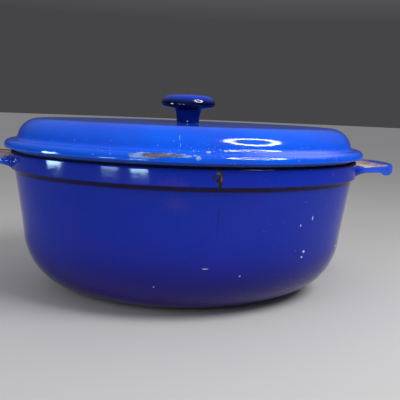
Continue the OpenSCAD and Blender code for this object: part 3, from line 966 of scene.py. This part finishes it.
def knob_resin(colours):
    """Dark blue polished resin with faint handling scratches, dust and a pale spot; the cap is painted darker
    than the stem as shade, and its crown painted bright as a sheen.
    """
    finish = Finish("knob_resin", Specular_IOR_Level=0.28)
    height = finish.axis("Z")
    # Painted shade: the cap is darkened above the stem, standing in for the blue light the lid bounces onto
    # the stem.
    cap = finish.window(height, KNOB_HIGH.z - 15.5 * MM, KNOB_HIGH.z - 13.5 * MM)
    # Painted sheen: the crown of the cap is painted bright blue, standing in for a reflection of a pale
    # ceiling.
    crown = finish.window(height, KNOB_HIGH.z - 8.0 * MM, KNOB_HIGH.z - 2.0 * MM)
    tone = finish.mix(cap, colours.resin, (0.0003, 0.001, 0.020))
    tone = finish.mix(crown, tone, (0.002, 0.042, 0.50))
    cloud = finish.window(finish.noise(90.0, 4.0), 0.45, 0.75, 0.0, 0.3)
    tone = finish.mix(cloud, tone, (0.004, 0.012, 0.11))
    tone = finish.mix(finish.math("MULTIPLY", specks(finish, 330.0, 0.11, 0.12), 0.5), tone, (0.4, 0.45, 0.7))
    spot = finish.window(closeness(finish, KNOB_PALE_SPOT), 0.0, 0.3)
    tone = finish.mix(spot, tone, (0.55, 0.60, 0.95))
    scratch = finish.window(finish.noise(240.0, 2.0, 0.5, (1.0, 0.06, 1.0)), 0.66, 0.72)
    rough = finish.math("MULTIPLY_ADD", scratch, 0.2, finish.window(finish.noise(60.0), 0.3, 0.7, 0.07, 0.13))
    skin = finish.bump(finish.noise(420.0, 2.0), 0.06, 0.2 * MM)
    return finish.paint(Base_Color=tone, Roughness=rough, Normal=skin)


def turned_metal(name, tone, worn):
    """Metal with fine rings from turning and slight tarnish."""
    finish = Finish(name, Metallic=1.0)
    rings = finish.noise(900.0, 2.0, 0.5, (0.1, 0.1, 4.0))
    tarnish = finish.window(finish.noise(260.0, 5.0, 0.6), 0.4, 0.75)
    shade = finish.mix(finish.math("MULTIPLY", tarnish, 0.5), tone, worn)
    rough = finish.window(rings, 0.3, 0.7, 0.22, 0.42)
    grooves = finish.bump(rings, 0.25, 0.1 * MM)
    return finish.paint(Base_Color=shade, Roughness=rough, Normal=grooves)


def brass(colours):
    """Turned brass of the insert."""
    return turned_metal("turned_brass", colours.brass, (0.34, 0.20, 0.08))


def steel(colours):
    """Plain stainless steel of the screw and washer."""
    return turned_metal("fastener_steel", colours.steel, (0.30, 0.28, 0.26))


# ---------- stage ----------


class CASSEROLE_OT_stage(bpy.types.Operator):
    """Build the pale floor, the soft lights and the camera"""
    bl_idname = "casserole.stage"
    bl_label = "Stage"

    def execute(self, context):
        self.floor(context.scene)
        self.lights(context.scene)
        self.camera(context.scene)
        context.scene.view_settings.view_transform = "Standard"
        return {"FINISHED"}

    def floor(self, scene):
        """A wide round floor."""
        bm = bmesh.new()
        bmesh.ops.create_circle(bm, cap_ends=True, segments=96, radius=9.0)
        mesh = bpy.data.meshes.new("studio_floor")
        bm.to_mesh(mesh)
        bm.free()
        finish = Finish("studio_floor", Roughness=0.9, Specular_IOR_Level=0.1)
        grain = finish.window(finish.noise(3.0, 4.0), 0.3, 0.7, 0.0, 0.25)
        soft = [c * 0.93 for c in scene.casserole_colours.floor]
        mesh.materials.append(finish.paint(Base_Color=finish.mix(grain, scene.casserole_colours.floor, soft)))
        floor = bpy.data.objects.new("studio_floor", mesh)
        floor.location.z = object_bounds()[0][2] - 0.1 * MM
        scene.collection.objects.link(floor)
        floor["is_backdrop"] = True

    def soft_light(self, scene, name, place, target, size, power, shape="RECTANGLE", tint=(1, 1, 1)):
        """A soft light that points at a target."""
        data = bpy.data.lights.new(name, "AREA")
        data.shape = shape
        data.size, data.size_y = size
        data.energy = power
        data.color = tint
        light = bpy.data.objects.new(name, data)
        light.location = place
        light.rotation_euler = (Vector(target) - Vector(place)).to_track_quat("-Z", "Y").to_euler()
        scene.collection.objects.link(light)
        return light

    def ring_lamp(self, scene, place, target, outer, inner, strength):
        """A flat glowing ring that shows in reflections only."""
        bm = bmesh.new()
        bmesh.ops.create_circle(bm, cap_ends=False, segments=96, radius=outer)
        made = bmesh.ops.extrude_edge_only(bm, edges=bm.edges[:])["geom"]
        inside = [item for item in made if isinstance(item, bmesh.types.BMVert)]
        bmesh.ops.scale(bm, vec=[inner / outer] * 3, verts=inside)
        mesh = bpy.data.meshes.new("ring_lamp")
        bm.to_mesh(mesh)
        bm.free()
        mesh.materials.append(Finish("ring_glow", Base_Color=(0, 0, 0, 1), Emission_Color=(1, 1, 0.97, 1),
                                     Emission_Strength=strength).material)
        ring = bpy.data.objects.new("ring_lamp", mesh)
        ring.location = place
        ring.rotation_euler = (Vector(target) - Vector(place)).to_track_quat("-Z", "Y").to_euler()
        ring.visible_camera = ring.visible_diffuse = ring.visible_shadow = False
        scene.collection.objects.link(ring)
        ring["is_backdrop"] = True

    def lights(self, scene):
        """A ring light high on the right, a soft fill on the left and window panes low beside it."""
        key, aim = (0.457, -0.445, 0.739), (0.036, -0.115, 0.145)
        pot_middle, band_left = (0, 0, 0.1), (-0.08, -0.11, 0.12)
        lamp = self.soft_light(scene, "key", key, aim, (0.44, 0.44), 5.8, "DISK")
        self.ring_lamp(scene, key, aim, 0.24, 0.157, 44.0)
        fill = self.soft_light(scene, "front_fill", (-0.95, -0.95, 0.62), pot_middle, (0.9, 0.7), 4.8)
        lamp.visible_glossy = fill.visible_glossy = False
        panes = [((-0.90, -0.195, 0.138), (0.15, 0.20), 4.4), ((-0.64, -0.67, 0.094), (0.14, 0.115), 1.1),
                 ((-0.43, -0.82, 0.0345), (0.15, 0.005), 0.13), ((-0.43, -0.82, 0.066), (0.15, 0.050), 1.3)]
        for place, size, power in panes:
            pane = self.soft_light(scene, "window_pane", place, band_left, size, power,
                                   tint=(0.50, 0.80, 1.0))
            pane.visible_diffuse = False
        self.surround(scene)

    def surround(self, scene):
        """A room that is dim at the horizon and bright overhead."""
        world = bpy.data.worlds.new("studio_world")
        scene.world = world
        world.use_nodes = True
        nodes, links = world.node_tree.nodes, world.node_tree.links
        heading = nodes.new("ShaderNodeTexCoord")
        split = nodes.new("ShaderNodeSeparateXYZ")
        climb = nodes.new("ShaderNodeMapRange")
        for socket, value in (("From Min", 0.15), ("From Max", 0.85), ("To Min", 0.07), ("To Max", 0.60)):
            climb.inputs[socket].default_value = value
        links.new(heading.outputs["Generated"], split.inputs[0])
        links.new(split.outputs["Z"], climb.inputs["Value"])
        surround = nodes["Background"]
        surround.inputs["Color"].default_value = (0.86, 0.86, 0.90, 1)
        links.new(climb.outputs["Result"], surround.inputs["Strength"])

    def camera(self, scene):
        """The camera: a little above the lid, to the left of the middle, tilted down and slightly rolled."""
        turn, pan, pitch, roll = (math.radians(a) for a in (-5.892, -1.552, 9.151, 2.295))
        distance, height = 525.8 * MM, 166.8 * MM
        place = Vector((distance * math.sin(turn), -distance * math.cos(turn), height))
        heading = turn + pan
        level = Vector((-math.sin(heading), math.cos(heading), 0))
        forward = level * math.cos(pitch) - Vector((0, 0, math.sin(pitch)))
        right = Vector((math.cos(heading), math.sin(heading), 0))
        up = right.cross(forward)
        right, up = (math.cos(roll) * right + math.sin(roll) * up,
                     math.cos(roll) * up - math.sin(roll) * right)
        data = bpy.data.cameras.new("camera")
        data.sensor_width = 36
        data.lens = 50.45
        data.clip_start = 0.01
        camera = bpy.data.objects.new("camera", data)
        frame_axes = Matrix((right, up, -forward)).transposed()
        camera.matrix_world = Matrix.Translation(place) @ frame_axes.to_4x4()
        scene.collection.objects.link(camera)
        scene.camera = camera


# ---------- panel and registration ----------

OPERATORS = [CASSEROLE_OT_pot, CASSEROLE_OT_pot_lining, CASSEROLE_OT_lid, CASSEROLE_OT_lid_lining,
             CASSEROLE_OT_knob, CASSEROLE_OT_fittings, CASSEROLE_OT_stage]

GROUPS = {
    "casserole_pot": CasserolePotSizes,
    "casserole_handle": CasseroleHandleSizes,
    "casserole_lid": CasseroleLidSizes,
    "casserole_knob": CasseroleKnobSizes,
    "casserole_colours": CasseroleColours,
}


class CASSEROLE_PT_panel(bpy.types.Panel):
    """Lists the sizes, the colours and the build steps"""
    bl_idname = "CASSEROLE_PT_panel"
    bl_label = "Oval Casserole"
    bl_space_type = "VIEW_3D"
    bl_region_type = "UI"
    bl_category = "Casserole"

    def draw(self, context):
        for name, group in GROUPS.items():
            box = self.layout.box()
            box.label(text=name.split("_")[1].capitalize())
            for field in group.__annotations__:
                box.prop(getattr(context.scene, name), field)
        for operator in OPERATORS:
            self.layout.operator(operator.bl_idname)


def register():
    for group in GROUPS.values():
        bpy.utils.register_class(group)
    for name, group in GROUPS.items():
        setattr(bpy.types.Scene, name, PointerProperty(type=group))
    for kind in [*OPERATORS, CASSEROLE_PT_panel]:
        bpy.utils.register_class(kind)


def unregister():
    for kind in [CASSEROLE_PT_panel, *reversed(OPERATORS)]:
        bpy.utils.unregister_class(kind)
    for name in GROUPS:
        delattr(bpy.types.Scene, name)
    for group in reversed(GROUPS.values()):
        bpy.utils.unregister_class(group)


def main():
    register()
    for operator in OPERATORS:
        group, name = operator.bl_idname.split(".")
        getattr(getattr(bpy.ops, group), name)()


if __name__ == "__main__":
    main()
